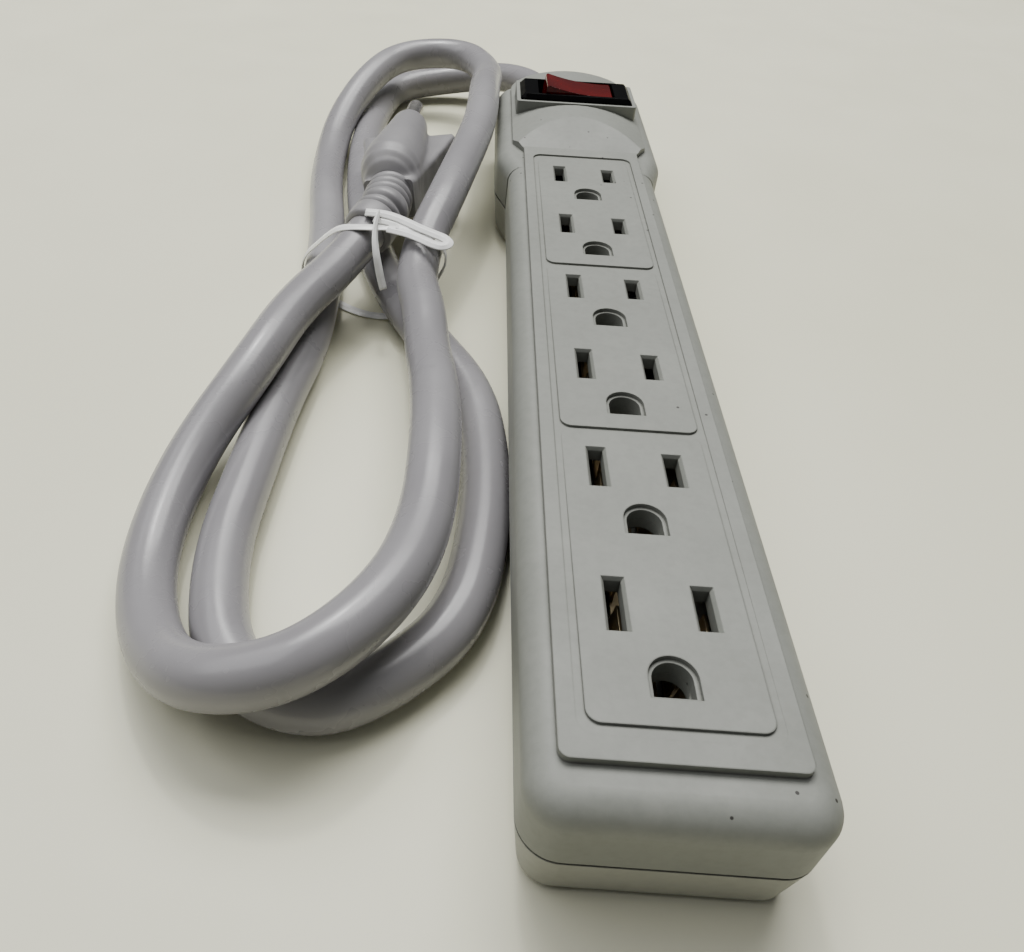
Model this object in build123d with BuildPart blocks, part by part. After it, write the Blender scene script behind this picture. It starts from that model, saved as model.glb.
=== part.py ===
from build123d import *
import math
import os

os.makedirs("parts", exist_ok=True)

# ---------------------------------------------------------------- driving dimensions (mm)
# Frame: X across the strip, Y along it towards the switch head, Z up.
# Origin: middle of the housing's footprint, on the table.
length = 248.0                 # housing, front face to back of the head
y_front = -length / 2
y_back = length / 2
body_half = 19.65              # half width of the outlet row
head_half = 22.75              # half width of the switch head
shoulder_y0, shoulder_y1 = 56.5, 66.5
corner_r = 5.8                 # front plan corners
head_corner_r = 9.0

foot_h = 1.0                   # moulded feet under the bottom cover
z_base = foot_h
z_seam = 12.0
z_body = 23.7                  # shoulder surface beside the raised plate
z_plate = 24.9
base_taper = 7.5               # degrees, sides of the bottom cover
wall = 2.2
keyhole_ys = (-84.0, 66.0)      # round ends of the two keyhole slots
seam_gap = 0.5

plate_half = 15.6
plate_y0 = -116.9
plateau_half = 13.2
plateau_y0, plateau_y1 = -113.6, 63.6
plateau_far_depth = 0.4        # the long field sinks towards the switch and fades out at the front
platform_half = 18.7
ramp_y0 = 68.2
ramp_slope = 0.307
dome_r = 43.0
dome_z = 29.0

# outlets: three-hole, 15 A, parallel blades with a round ground pin
outlet_count = 6
outlet_pitch = 29.0
outlet_y0 = -92.8
blade_x = 6.35                 # blades are 12.7 apart
ground_dy = -11.9
slot_w, slot_inner_w = 3.54, 2.5
slot_len_neutral, slot_inner_neutral = 9.9, 9.1
slot_len_hot, slot_inner_hot = 8.2, 7.4
lead_in = 0.75
ground_r, ground_inner_r = 3.38, 2.78
ground_flat, ground_inner_flat = 3.27, 2.67
collar_ri, collar_ro = 2.75, 3.9
collar_z0, collar_z1 = 20.3, 22.3
outlets = [outlet_y0 + outlet_pitch * i for i in range(outlet_count)]

panel_half = 12.0
panel_edges = [-112.1, -54.0, 3.4, 62.0]
panel_front_h, panel_back_h = 0.42, 0.04


def floor_z(y):
    """Height of the sunk field at distance y."""
    return z_plate - 0.02 - plateau_far_depth * (y - plateau_y0) / (plateau_y1 - plateau_y0)


def panel_z(y):
    """Height of the outlet panels, each rising towards the front."""
    for y0, y1 in zip(panel_edges[:-1], panel_edges[1:]):
        if y0 <= y <= y1:
            return floor_z(y) + panel_front_h + (panel_back_h - panel_front_h) * (y - y0) / (y1 - 0.6 - y0)
    return floor_z(y)

# switch
win_x, win_y0, win_y1 = 16.5, 92.15, 107.65
win_yc = (win_y0 + win_y1) / 2
rim_t = 1.1
rim_z = 29.3
bezel_z = 30.8
pivot_z = 23.5
rocker_half = 10.0
rocker_w = 11.0
rocker_tilt = 7.0              # degrees each side of level

# cord
cord_d = 9.8
exit_z = 13.0


# ---------------------------------------------------------------- shared outlines
def plan(z, inset=0.0):
    """The strip's plan outline at height z: straight outlet row, wider head."""
    with BuildSketch(Plane.XY.offset(z)) as sk:
        with BuildLine():
            Polyline(
                (head_half, y_back - 1.8), (head_half, shoulder_y1), (body_half, shoulder_y0),
                (body_half, y_front), (-body_half, y_front), (-body_half, shoulder_y0),
                (-head_half, shoulder_y1), (-head_half, y_back - 1.8),
            )
            ThreePointArc((-head_half, y_back - 1.8), (0, y_back), (head_half, y_back - 1.8))
        make_face()
        vs = sk.vertices()
        fillet([v for v in vs if abs(v.Y - y_front) < 0.1], corner_r)
        fillet([v for v in sk.vertices() if abs(v.Y - shoulder_y0) < 0.1 or abs(v.Y - shoulder_y1) < 0.1], 12)
        fillet([v for v in sk.vertices() if v.Y > y_back - 2 and abs(v.X) > head_half - 0.5], head_corner_r)
        if inset:
            offset(amount=-inset, mode=Mode.REPLACE)
    return sk.sketch


def rounded(z, x0, y0, x1, y1, r):
    """A rounded rectangle on the plane at height z."""
    with BuildSketch(Plane.XY.offset(z)) as sk:
        with Locations(((x0 + x1) / 2, (y0 + y1) / 2)):
            RectangleRounded(x1 - x0, y1 - y0, r)
    return sk.sketch


def top_envelope(drop=0.0):
    """Everything under the raised top surface: flat plate, ramp and crowned head."""
    with BuildPart() as env:
        with BuildSketch(Plane.YZ.offset(-40)):
            with BuildLine():
                Polyline(
                    (y_front - 20, -30), (y_front - 20, z_plate - drop), (ramp_y0, z_plate - drop),
                    (ramp_y0 + 30, z_plate - drop + 30 * ramp_slope), (y_back + 20, z_plate - drop + 30 * ramp_slope),
                    (y_back + 20, -30), close=True,
                )
            make_face()
        extrude(amount=80)
        with BuildSketch(Plane.XZ.offset(-(y_back + 20))):
            with Locations((0, dome_z - drop - dome_r)):
                Circle(dome_r)
        extrude(amount=length + 40, mode=Mode.INTERSECT)
    return env.part


def platform(z, inset=0.0):
    """Plan of the raised plate, with the platform that widens round the switch."""
    with BuildSketch(Plane.XY.offset(z)) as sk:
        with BuildLine():
            Polyline(
                (plate_half, plate_y0), (plate_half, 67.2), (platform_half, 72.6),
                (platform_half, 121.3), (-platform_half, 121.3), (-platform_half, 72.6),
                (-plate_half, 67.2), (-plate_half, plate_y0), close=True,
            )
        make_face()
        fillet([v for v in sk.vertices() if v.Y < plate_y0 + 0.1], 1.5)
        fillet([v for v in sk.vertices() if 60 < v.Y < 80], 2.2)
        fillet([v for v in sk.vertices() if v.Y > 120], 6.5)
        if inset:
            offset(amount=-inset, mode=Mode.REPLACE)
    return sk.sketch


screw_spots = [(14.6, -106.0), (-14.6, -106.0), (14.6, -20.5), (-14.6, -20.5), (14.6, 56.0), (-14.6, 56.0)]

envelope = top_envelope()
envelope_in = top_envelope(2.3)

# ---------------------------------------------------------------- top cover
with BuildPart() as top_cover:
    # outlet row with softly rounded top edges
    with BuildSketch(Plane.XY.offset(z_seam)):
        with Locations((0, (y_front + 62) / 2)):
            Rectangle(2 * body_half, 62 - y_front)
    extrude(amount=z_body - z_seam)
    fillet(top_cover.edges().filter_by(Axis.Z).group_by(Axis.Y)[0], corner_r)
    fillet(top_cover.faces().sort_by(Axis.Z)[-1].edges().filter_by(lambda e: e.center().Y < 61), 4.2)
    # switch head
    with BuildPart(mode=Mode.PRIVATE) as head:
        with BuildSketch(Plane.XY.offset(z_seam)):
            add(plan(z_seam))
            with Locations((0, y_front)):
                Rectangle(60, 2 * (57.0 - y_front), mode=Mode.SUBTRACT)
        extrude(amount=z_body - z_seam)
        fillet(head.faces().sort_by(Axis.Z)[-1].edges().filter_by(lambda e: e.center().Y > 58), 4.2)
    add(head.part)
    # raised plate, ramp and crown
    with BuildPart(mode=Mode.PRIVATE) as raised:
        add(platform(22.5))
        extrude(amount=9)
        add(envelope, mode=Mode.INTERSECT)
    add(raised.part)
    # plateau and the three outlet panels
    with BuildPart(mode=Mode.PRIVATE) as field:
        with BuildSketch(Plane.YZ.offset(-plateau_half)):
            with BuildLine():
                Polyline((plateau_y0, floor_z(plateau_y0)), (plateau_y1, floor_z(plateau_y1)), (plateau_y1, 27.0), (plateau_y0, 27.0), close=True)
            make_face()
        extrude(amount=2 * plateau_half)
        fillet(field.edges().filter_by(Axis.Z), 2.4)
    add(field.part, mode=Mode.SUBTRACT)
    for y0, y1 in zip(panel_edges[:-1], panel_edges[1:]):
        with BuildPart(mode=Mode.PRIVATE) as panel:
            with BuildSketch(Plane.YZ.offset(-panel_half)):
                with BuildLine():
                    Polyline((y0, 24.2), (y0, floor_z(y0) + panel_front_h), (y1 - 0.6, floor_z(y1 - 0.6) + panel_back_h), (y1 - 0.6, 24.2), close=True)
                make_face()
            extrude(amount=2 * panel_half)
            fillet(panel.edges().filter_by(Axis.Z), 2.0)
        add(panel.part)
    # frame round the switch window
    add(rounded(22.0, -win_x - rim_t, win_y0 - rim_t, win_x + rim_t, win_y1 + rim_t, 0.8))
    extrude(amount=rim_z - 22.0)
    # hollow inside
    add(plan(z_seam, wall))
    extrude(amount=22.0 - z_seam, mode=Mode.SUBTRACT)
    with BuildPart(mode=Mode.PRIVATE) as head_hollow:
        add(rounded(21.9, -16.2, 72.0, 16.2, 119.0, 2.0))
        extrude(amount=8)
        add(envelope_in, mode=Mode.INTERSECT)
    add(head_hollow.part, mode=Mode.SUBTRACT)
    # collar under the window and the window itself
    add(rounded(21.0, -win_x - rim_t, win_y0 - rim_t, win_x + rim_t, win_y1 + rim_t, 0.8))
    extrude(amount=rim_z - 21.0)
    add(rounded(28.2, -win_x, win_y0, win_x, win_y1, 0.5))
    extrude(amount=3, mode=Mode.SUBTRACT)
    add(rounded(20.0, -15.2, win_y0 + 0.7, 15.2, win_y1 - 0.7, 0.5))
    extrude(amount=12, mode=Mode.SUBTRACT)
    # outlet openings: sloped lead-ins, then the slots right through
    for yo in outlets:
        zt = panel_z(yo) + 0.05
        for x, w_o, l_o, w_i, l_i in (
            (-blade_x, slot_w, slot_len_neutral, slot_inner_w, slot_inner_neutral),
            (blade_x, slot_w, slot_len_hot, slot_inner_w, slot_inner_hot),
        ):
            with BuildSketch(Plane.XY.offset(zt)):
                with Locations((x, yo)):
                    Rectangle(w_o, l_o)
            with BuildSketch(Plane.XY.offset(zt - lead_in)):
                with Locations((x, yo)):
                    Rectangle(w_i, l_i)
            loft(mode=Mode.SUBTRACT)
            with BuildSketch(Plane.XY.offset(zt)):
                with Locations((x, yo)):
                    Rectangle(w_o, l_o)
            extrude(amount=1.0, mode=Mode.SUBTRACT)
            with BuildSketch(Plane.XY.offset(21)):
                with Locations((x, yo)):
                    Rectangle(w_i, l_i)
            extrude(amount=4, mode=Mode.SUBTRACT)
        yg = yo + ground_dy
        # guide collar under the plate, round inside
        with Locations((0, yg, collar_z0)):
            Cylinder(collar_ro, 22.8 - collar_z0, align=(Align.CENTER, Align.CENTER, Align.MIN))
        with Locations((0, yg, collar_z0)):
            Cylinder(collar_ri, collar_z1 - collar_z0, align=(Align.CENTER, Align.CENTER, Align.MIN), mode=Mode.SUBTRACT)
        for z0, h, r, flat in ((round(panel_z(yg) - lead_in, 3), 3.0, ground_r, ground_flat), (collar_z1, 4.0, ground_inner_r, ground_inner_flat)):
            with BuildSketch(Plane.XY.offset(z0)):
                with Locations((0, yg)):
                    Circle(r)
                with Locations((0, yg - flat / 2)):
                    Rectangle(2 * r, flat)
                with Locations((0, yg - flat - 3)):
                    Rectangle(4 * r, 6, mode=Mode.SUBTRACT)
            extrude(amount=h, mode=Mode.SUBTRACT)
    # screw bosses, with their pilot holes
    for x, y in screw_spots:
        with Locations((x, y, z_seam)):
            Cylinder(3.0, 10.4, align=(Align.CENTER, Align.CENTER, Align.MIN))
    for x, y in screw_spots:
        with Locations((x, y, z_seam)):
            Cylinder(1.5, 8.6, align=(Align.CENTER, Align.CENTER, Align.MIN), mode=Mode.SUBTRACT)
    # half of the cord entry
    with Locations(Location((0, y_back, exit_z), (90, 0, 0))):
        Cylinder(6.6, 12, mode=Mode.SUBTRACT)
top_cover.part.label = "top_cover"
export_step(top_cover.part, "parts/top_cover.step")

# ---------------------------------------------------------------- bottom cover
with BuildPart() as bottom_cover:
    with BuildSketch(Plane.XY.offset(z_seam - seam_gap)):
        add(plan(z_seam - seam_gap))
    extrude(amount=-(z_seam - seam_gap - z_base), taper=base_taper)
    fillet(bottom_cover.faces().sort_by(Axis.Z)[0].edges(), 1.2)
    # land that the top cover sits on, set back from the visible seam
    add(plan(z_seam - seam_gap - 0.5, 0.9))
    extrude(amount=seam_gap + 0.5)
    # hollow inside
    with BuildSketch(Plane.XY.offset(z_seam)):
        add(plan(z_seam, wall + 0.9))
    extrude(amount=-(z_seam - z_base - wall), mode=Mode.SUBTRACT, taper=base_taper * 0.8)
    # locating lip inside the top cover's wall
    add(plan(z_seam - 1.5, wall + 0.15))
    extrude(amount=3.0)
    add(plan(z_seam - 1.5, wall + 1.35))
    extrude(amount=3.0, mode=Mode.SUBTRACT)
    for x, y in screw_spots:
        with Locations((x, y, z_seam)):
            Cylinder(3.3, 3.0, align=(Align.CENTER, Align.CENTER, Align.MIN), mode=Mode.SUBTRACT)
    # feet
    for x, y in ((13.5, -112.0), (-13.5, -112.0), (16.5, 108.0), (-16.5, 108.0)):
        with Locations((x, y, 0)):
            Cylinder(3.2, z_base + 0.5, align=(Align.CENTER, Align.CENTER, Align.MIN))
    # screw posts, open from below
    for x, y in screw_spots:
        with Locations((x, y, z_base)):
            Cylinder(3.35, z_seam - z_base, align=(Align.CENTER, Align.CENTER, Align.MIN))
    for x, y in screw_spots:
        with Locations((x, y, 0)):
            Cylinder(2.8, 8.0, align=(Align.CENTER, Align.CENTER, Align.MIN), mode=Mode.SUBTRACT)
        with Locations((x, y, 0)):
            Cylinder(1.65, 20.0, align=(Align.CENTER, Align.CENTER, Align.MIN), mode=Mode.SUBTRACT)
    # ribs that carry the three bus bars
    for y in (-98.0, -40.0, 18.0, 50.0):
        with Locations((0, y, z_base + wall - 0.2)):
            Box(23.0, 1.6, 4.2, align=(Align.CENTER, Align.CENTER, Align.MIN))
    # keyhole slots for hanging on two screws
    for y in keyhole_ys:
        with Locations((0, y, 0)):
            Cylinder(4.2, 6.0, align=(Align.CENTER, Align.CENTER, Align.MIN), mode=Mode.SUBTRACT)
        with Locations((0, y + 5.0, 0)):
            Box(4.4, 10.0, 6.0, align=(Align.CENTER, Align.CENTER, Align.MIN), mode=Mode.SUBTRACT)
        with Locations((0, y + 10.0, 0)):
            Cylinder(2.2, 6.0, align=(Align.CENTER, Align.CENTER, Align.MIN), mode=Mode.SUBTRACT)
    # half of the cord entry, with room for the gland's flange
    with Locations(Location((0, y_back, exit_z), (90, 0, 0))):
        Cylinder(6.6, 12, mode=Mode.SUBTRACT)
    with Locations(Location((0, 116.9, exit_z), (90, 0, 0))):
        Cylinder(8.3, 9.2, mode=Mode.SUBTRACT)
bottom_cover.part.label = "bottom_cover"
export_step(bottom_cover.part, "parts/bottom_cover.step")


def tube(points, d, share=0.45):
    """A round tube along straight runs joined by tangent arcs; also its path and bend radii."""
    pts = [Vector(*p) for p in points]
    radii = []
    for a, b, c in zip(pts[:-2], pts[1:-1], pts[2:]):
        turn = math.radians((b - a).get_angle(c - b))
        radii.append(share * min((b - a).length, (c - b).length) / math.tan(turn / 2))
    with BuildLine() as path:
        FilletPolyline(*points, radius=radii)
    route = path.wires()[0]
    with BuildPart() as body:
        with BuildSketch(Plane(origin=route @ 0, z_dir=route % 0)):
            Circle(d / 2)
        sweep(path=route)
    ratio = body.part.volume / (math.pi * d * d / 4 * route.length)
    return body.part, route.length, radii, ratio


def write(part, name):
    part.label = name
    export_step(part, f"parts/{name}.step")


# ---------------------------------------------------------------- cover screws (six, from below)
with BuildPart() as cover_screws:
    for x, y in screw_spots:
        with Locations((x, y, 6.1)):
            Cylinder(2.6, 1.9, align=(Align.CENTER, Align.CENTER, Align.MIN))
        with Locations((x, y, 8.0)):
            Cylinder(1.4, 11.5, align=(Align.CENTER, Align.CENTER, Align.MIN))
        for a in (0, 90):
            with Locations(Location((x, y, 6.1), (0, 0, a))):
                Box(3.0, 0.7, 1.2, align=(Align.CENTER, Align.CENTER, Align.MIN), mode=Mode.SUBTRACT)
write(cover_screws.part, "cover_screws")

# ---------------------------------------------------------------- bus bars with spring contacts
bus_z, bus_t = 7.2, 0.6
bus_y0, bus_y1 = -98.5, 62.0
leaf_top = 20.0


def bus_bar(x, half, y_start, leaf, leaf_len, dy):
    """A brass strip with a pair of spring leaves at each outlet and a wire tab at its end."""
    with BuildPart() as bus:
        with Locations((x, (y_start + bus_y1) / 2, bus_z)):
            Box(2 * half, bus_y1 - y_start, bus_t, align=(Align.CENTER, Align.CENTER, Align.MIN))
        with Locations((x, bus_y1 + bus_t / 2, bus_z)):
            Box(2 * half, bus_t, 5.8, align=(Align.CENTER, Align.CENTER, Align.MIN))
        for side in (-1, 1):
            for yo in outlets:
                with BuildSketch(Plane.XZ.offset(-(yo + dy + leaf_len / 2))):
                    with BuildLine():
                        Polyline(*[(x + side * px, pz) for px, pz in leaf], close=True)
                    make_face()
                extrude(amount=leaf_len)
    return bus.part


blade_leaf = [(1.8, 7.5), (2.4, 7.5), (1.25, 15.5), (1.9, 19.8), (1.4, leaf_top), (0.7, 15.5)]
pin_leaf = [(2.3, 7.5), (2.8, 7.5), (2.8, 17.0), (3.3, 19.8), (2.85, leaf_top), (2.3, 17.0)]
neutral_bus = bus_bar(-blade_x, 2.45, bus_y0, blade_leaf, 7.6, 0.0)
write(neutral_bus, "neutral_bus")
hot_bus = bus_bar(blade_x, 2.45, bus_y0, blade_leaf, 6.4, 0.0)
write(hot_bus, "hot_bus")
ground_bus = bus_bar(0.0, 2.8, bus_y0 - 10.5, pin_leaf, 5.6, ground_dy)
write(ground_bus, "ground_bus")

# ---------------------------------------------------------------- rocker switch
sw_z0 = 11.5                   # underside of the switch housing
sw_floor = 12.6
with BuildPart() as switch_housing:
    add(rounded(sw_z0, -15.0, win_yc - 6.75, 15.0, win_yc + 6.75, 0.8))
    extrude(amount=28.2 - sw_z0)
    add(rounded(28.2, -16.35, win_y0 + 0.12, 16.35, win_y1 - 0.12, 1.6))
    extrude(amount=bezel_z - 28.2)
    chamfer(switch_housing.faces().sort_by(Axis.Z)[-1].edges(), 1.1)
    add(rounded(27.0, -11.25, win_yc - 5.8, 11.25, win_yc + 5.8, 0.5))
    extrude(amount=6, mode=Mode.SUBTRACT)
    add(rounded(sw_floor, -13.6, win_yc - 5.8, 13.6, win_yc + 5.8, 0.5))
    extrude(amount=27.0 - sw_floor, mode=Mode.SUBTRACT)
    with Locations(Location((0, win_yc, pivot_z), (90, 0, 0))):
        Cylinder(1.56, 14.0, mode=Mode.SUBTRACT)
    # slots for the three terminals
    for x, w in ((0, 4.9), (9.0, 4.9), (-9.0, 3.3)):
        with Locations((x, win_yc, sw_z0)):
            Box(w, 0.9, 3.0, mode=Mode.SUBTRACT)
write(switch_housing.part, "switch_housing")

# terminals
with BuildPart() as line_terminal:
    with Locations((0, win_yc, 7.5)):
        Box(4.8, 0.8, 5.1, align=(Align.CENTER, Align.CENTER, Align.MIN))
    with Locations((0, win_yc, sw_floor)):
        Box(4.8, 4.0, 0.5, align=(Align.CENTER, Align.CENTER, Align.MIN))
        Box(0.8, 4.0, 1.45, align=(Align.CENTER, Align.CENTER, Align.MIN))
write(line_terminal.part, "line_terminal")
with BuildPart() as load_terminal:
    with Locations((9.0, win_yc, 7.5)):
        Box(4.8, 0.8, 5.1, align=(Align.CENTER, Align.CENTER, Align.MIN))
    with Locations((8.2, win_yc, sw_floor)):
        Box(6.4, 4.0, 0.3, align=(Align.CENTER, Align.CENTER, Align.MIN))
    with Locations((6.5, win_yc, sw_floor)):
        Cylinder(1.3, 0.5, align=(Align.CENTER, Align.CENTER, Align.MIN))
write(load_terminal.part, "load_terminal")
with BuildPart() as lamp_terminal:
    with Locations((-9.0, win_yc, 7.5)):
        Box(3.2, 0.8, 5.1, align=(Align.CENTER, Align.CENTER, Align.MIN))
    with Locations((-10.2, win_yc, sw_floor)):
        Box(3.6, 4.0, 0.3, align=(Align.CENTER, Align.CENTER, Align.MIN))
write(lamp_terminal.part, "lamp_terminal")

# see-saw contact: level about its pivot, then tipped to the rest position
contact_z = 14.8
contact_tilt = 6.0
with BuildPart() as contact_level:
    with Locations((0, win_yc, contact_z)):
        Box(15.0, 5.0, 0.8)
    with Locations((6.5, win_yc, contact_z - 0.9)):
        Cylinder(1.3, 0.5, align=(Align.CENTER, Align.CENTER, Align.MIN))
moving_contact = contact_level.part.rotate(Axis((0, win_yc, contact_z), (0, 1, 0)), -contact_tilt)
write(moving_contact, "moving_contact")

# rocker, level about its pivot, then tipped with its left end up
rocker_axis = Axis((0, win_yc, pivot_z), (0, 1, 0))
y_side = Plane.XZ.offset(-(win_yc + rocker_w / 2))
with BuildPart() as rocker_level:
    with BuildSketch(y_side):
        with BuildLine():
            Line((-rocker_half, pivot_z + 1.0), (rocker_half, pivot_z + 1.0))
            Line((rocker_half, pivot_z + 1.0), (rocker_half, pivot_z + 8.43))
            ThreePointArc((rocker_half, pivot_z + 8.43), (0, pivot_z + 7.6), (-rocker_half, pivot_z + 8.43))
            Line((-rocker_half, pivot_z + 8.43), (-rocker_half, pivot_z + 1.0))
        make_face()
    extrude(amount=rocker_w)
    fillet(rocker_level.edges().filter_by(Axis.Y).group_by(Axis.Z)[-1], 0.7)
    with Locations((0, win_yc, pivot_z + 1.0)):
        Box(2 * rocker_half - 2.6, rocker_w - 2.6, 5.0, align=(Align.CENTER, Align.CENTER, Align.MIN), mode=Mode.SUBTRACT)
    for x in (-7.0, -3.9, 5.6):
        with Locations((x, win_yc, pivot_z + 1.0)):
            Box(0.9, rocker_w - 2.6, 5.0, align=(Align.CENTER, Align.CENTER, Align.MIN))
    with Locations((0, win_yc, pivot_z - 5.0)):
        Box(4.6, 4.6, 12.0, align=(Align.CENTER, Align.CENTER, Align.MIN))
    with Locations(Location((0, win_yc, pivot_z), (90, 0, 0))):
        Cylinder(2.6, rocker_w)
    with Locations(Location((0, win_yc, pivot_z), (90, 0, 0))):
        Cylinder(1.5, rocker_w + 2.2)
    with Locations((0, win_yc, pivot_z - 5.0)):
        Cylinder(1.45, 10.5, align=(Align.CENTER, Align.CENTER, Align.MIN), mode=Mode.SUBTRACT)
    with Locations(Location((-5.4, win_yc, pivot_z + 3.6), (0, 90, 0))):
        Cylinder(1.73, 5.0, mode=Mode.SUBTRACT)
    with Locations(Location((5.6, win_yc, pivot_z + 3.6), (0, 90, 0))):
        Cylinder(1.13, 3.0, mode=Mode.SUBTRACT)
rocker = rocker_level.part.rotate(rocker_axis, rocker_tilt)
write(rocker, "rocker")

with BuildPart() as plunger_level:
    with Locations((0, win_yc, pivot_z - 6.65)):
        Cylinder(1.35, 4.65, align=(Align.CENTER, Align.CENTER, Align.MIN))
        Sphere(1.35)
write(plunger_level.part.rotate(rocker_axis, rocker_tilt), "contact_plunger")

with BuildPart() as spring_level:
    with BuildLine() as coil:
        Helix(pitch=1.05, height=6.8, radius=1.1, center=(0, win_yc, pivot_z - 1.75))
    with BuildSketch(Plane(origin=coil.line @ 0, z_dir=coil.line % 0)):
        Circle(0.2)
    sweep(path=coil.line)
write(spring_level.part.rotate(rocker_axis, rocker_tilt), "plunger_spring")

with BuildPart() as lamp_level:
    with Locations(Location((-5.4, win_yc, pivot_z + 3.6), (0, 90, 0))):
        Cylinder(1.7, 5.2)
    fillet(lamp_level.faces().sort_by(Axis.X)[0].edges(), 1.2)
write(lamp_level.part.rotate(rocker_axis, rocker_tilt), "neon_lamp")
with BuildPart() as resistor_level:
    with Locations(Location((5.6, win_yc, pivot_z + 3.6), (0, 90, 0))):
        Cylinder(1.1, 4.4)
    fillet(resistor_level.edges(), 0.4)
write(resistor_level.part.rotate(rocker_axis, rocker_tilt), "lamp_resistor")

# ---------------------------------------------------------------- wires inside the head
tab_y = bus_y1 + bus_t
gland_face = 118.9
wires = {
    "ground_wire": ([(0, gland_face, 10.3), (0, 114.5, 10.3), (0, 107.0, 6.0), (0, 98, 4.9), (0, 82, 4.9), (0, 71, 10), (0, tab_y, 10)], 3.0),
    "neutral_wire": ([(-2.6, gland_face, 14.5), (-2.6, 114.5, 14.5), (-4.8, 108, 7.8), (-6.35, 99, 4.9), (-6.35, 82, 4.9), (-6.35, 71, 10), (-6.35, tab_y, 10)], 3.0),
    "hot_line_wire": ([(2.6, gland_face, 14.5), (2.6, 114.5, 14.5), (1.0, 107.6, 9.6), (1.0, win_yc + 0.4, 9.6)], 3.0),
    "hot_switched_wire": ([(9.0, win_yc - 0.4, 9.3), (9.0, 94, 9.3), (8.2, 82, 8.4), (6.35, 72, 10), (6.35, tab_y, 10)], 3.0),
    "lamp_wire": ([(-9.0, win_yc - 0.4, 9.3), (-9.0, 94, 9.3), (-9.8, 82, 9.6), (-7.8, 71, 12.1), (-7.8, tab_y, 12.1)], 1.8),
}
for name, (points, d) in wires.items():
    part, run, radii, ratio = tube(points, d)
    print(name, "length %.1f volume ratio %.3f" % (run, ratio), "radii", [round(r, 1) for r in radii])
    write(part, name)

# ---------------------------------------------------------------- cord entry gland and bend relief
boot_turn = 18.0               # degrees, the boot leans the way the cord leaves
boot_len = 22.0
with BuildPart() as cord_gland:
    with Locations(Location((0, 120.1, exit_z), (90, 0, 0))):
        Cylinder(8.0, 2.4)
    with Locations(Location((0, 122.3, exit_z), (90, 0, 0))):
        Cylinder(6.5, 4.4)
    with Locations(Location((0, 125.6, exit_z), (90, 0, 0))):
        Cylinder(7.7, 2.8)
    with BuildSketch(Plane(origin=(0, 126.2, exit_z), z_dir=(-math.sin(math.radians(boot_turn)), math.cos(math.radians(boot_turn)), 0))):
        Circle(7.2)
    with BuildSketch(Plane(origin=(-boot_len * math.sin(math.radians(boot_turn)), 126.2 + boot_len * math.cos(math.radians(boot_turn)), exit_z),
                           z_dir=(-math.sin(math.radians(boot_turn)), math.cos(math.radians(boot_turn)), 0))):
        Circle(5.6)
    loft()
write(cord_gland.part, "cord_gland")

# ---------------------------------------------------------------- supply cord
boot_end = (-boot_len * math.sin(math.radians(boot_turn)), 126.2 + boot_len * math.cos(math.radians(boot_turn)), exit_z)
lead_points = [boot_end, (boot_end[0] - 9 * math.sin(math.radians(boot_turn)), boot_end[1] + 9 * math.cos(math.radians(boot_turn)), exit_z),
               (-17.0, 166.3, 11.6), (-27.0, 172.6, 9.2), (-38.0, 174.8, 7.0)]
lead, lead_run, lead_radii, lead_ratio = tube(lead_points, cord_d)
print("cord_lead length %.1f volume ratio %.3f" % (lead_run, lead_ratio), "radii", [round(r, 1) for r in lead_radii])
write(lead, "cord_lead")

# the tied coil: two loops, pinched together at the tie
coil_h = 19.8
far_out = [(-71.5, 26), (-75.8, 62), (-80.0, 93), (-80.4, 113), (-76.5, 134), (-68, 153), (-61.5, 171), (-51.5, 180.4), (-37, 180.4),
           (-25.5, 173), (-20.6, 150), (-20.9, 128), (-23.7, 115), (-23.7, 88), (-27.5, 62), (-32.5, 42)]
near_out = [(-35.4, 18), (-29, 3), (-21.0, -22), (-20.3, -60), (-24.5, -84), (-36, -99), (-50, -107.8), (-62, -108.2), (-76, -100.5),
            (-84.5, -86), (-87, -66), (-83.5, -42), (-76, -12), (-71.3, 9)]
far_hole = [(-52.5, 48), (-57, 78), (-60, 105), (-60.3, 133), (-57, 150), (-51, 158), (-43.5, 161), (-36, 153), (-31.6, 125),
            (-32.6, 103), (-35, 84), (-37, 64), (-40, 48), (-46, 40)]
near_hole = [(-50, 2), (-43.5, -14), (-40, -38), (-39, -60), (-42, -76), (-50, -90), (-58.5, -90), (-63, -76), (-64.3, -55), (-62.6, -25), (-58, -4)]


def smooth_loop(points, share=0.42):
    """A closed outline of straight runs with rounded corners."""
    n = len(points)
    pts = [Vector(*p, 0) for p in points]
    radii = []
    for i in range(n):
        a, b, c = pts[i - 1], pts[i], pts[(i + 1) % n]
        turn = math.radians((b - a).get_angle(c - b))
        radii.append(share * min((b - a).length, (c - b).length) / math.tan(max(turn, 0.02) / 2))
    return radii


# ---------------------------------------------------------------- plug, lying in the far loop with its ground pin up
plug_turn = 4.0
plug_pitch = -2.0
plug_roll = 6.0                # right side up
plug_o = Vector(-50.9, 43.5, 19.3)
plug_dir = Vector(math.sin(math.radians(plug_turn)) * math.cos(math.radians(plug_pitch)), math.cos(math.radians(plug_turn)) * math.cos(math.radians(plug_pitch)), math.sin(math.radians(plug_pitch)))
plug_left = Vector(-math.cos(math.radians(plug_turn)), math.sin(math.radians(plug_turn)), 0).rotate(Axis((0, 0, 0), tuple(plug_dir)), -plug_roll)
plug_len = 37.5


def plug_plane(d):
    return Plane(origin=plug_o + plug_dir * d, x_dir=plug_left, z_dir=plug_dir)


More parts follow.
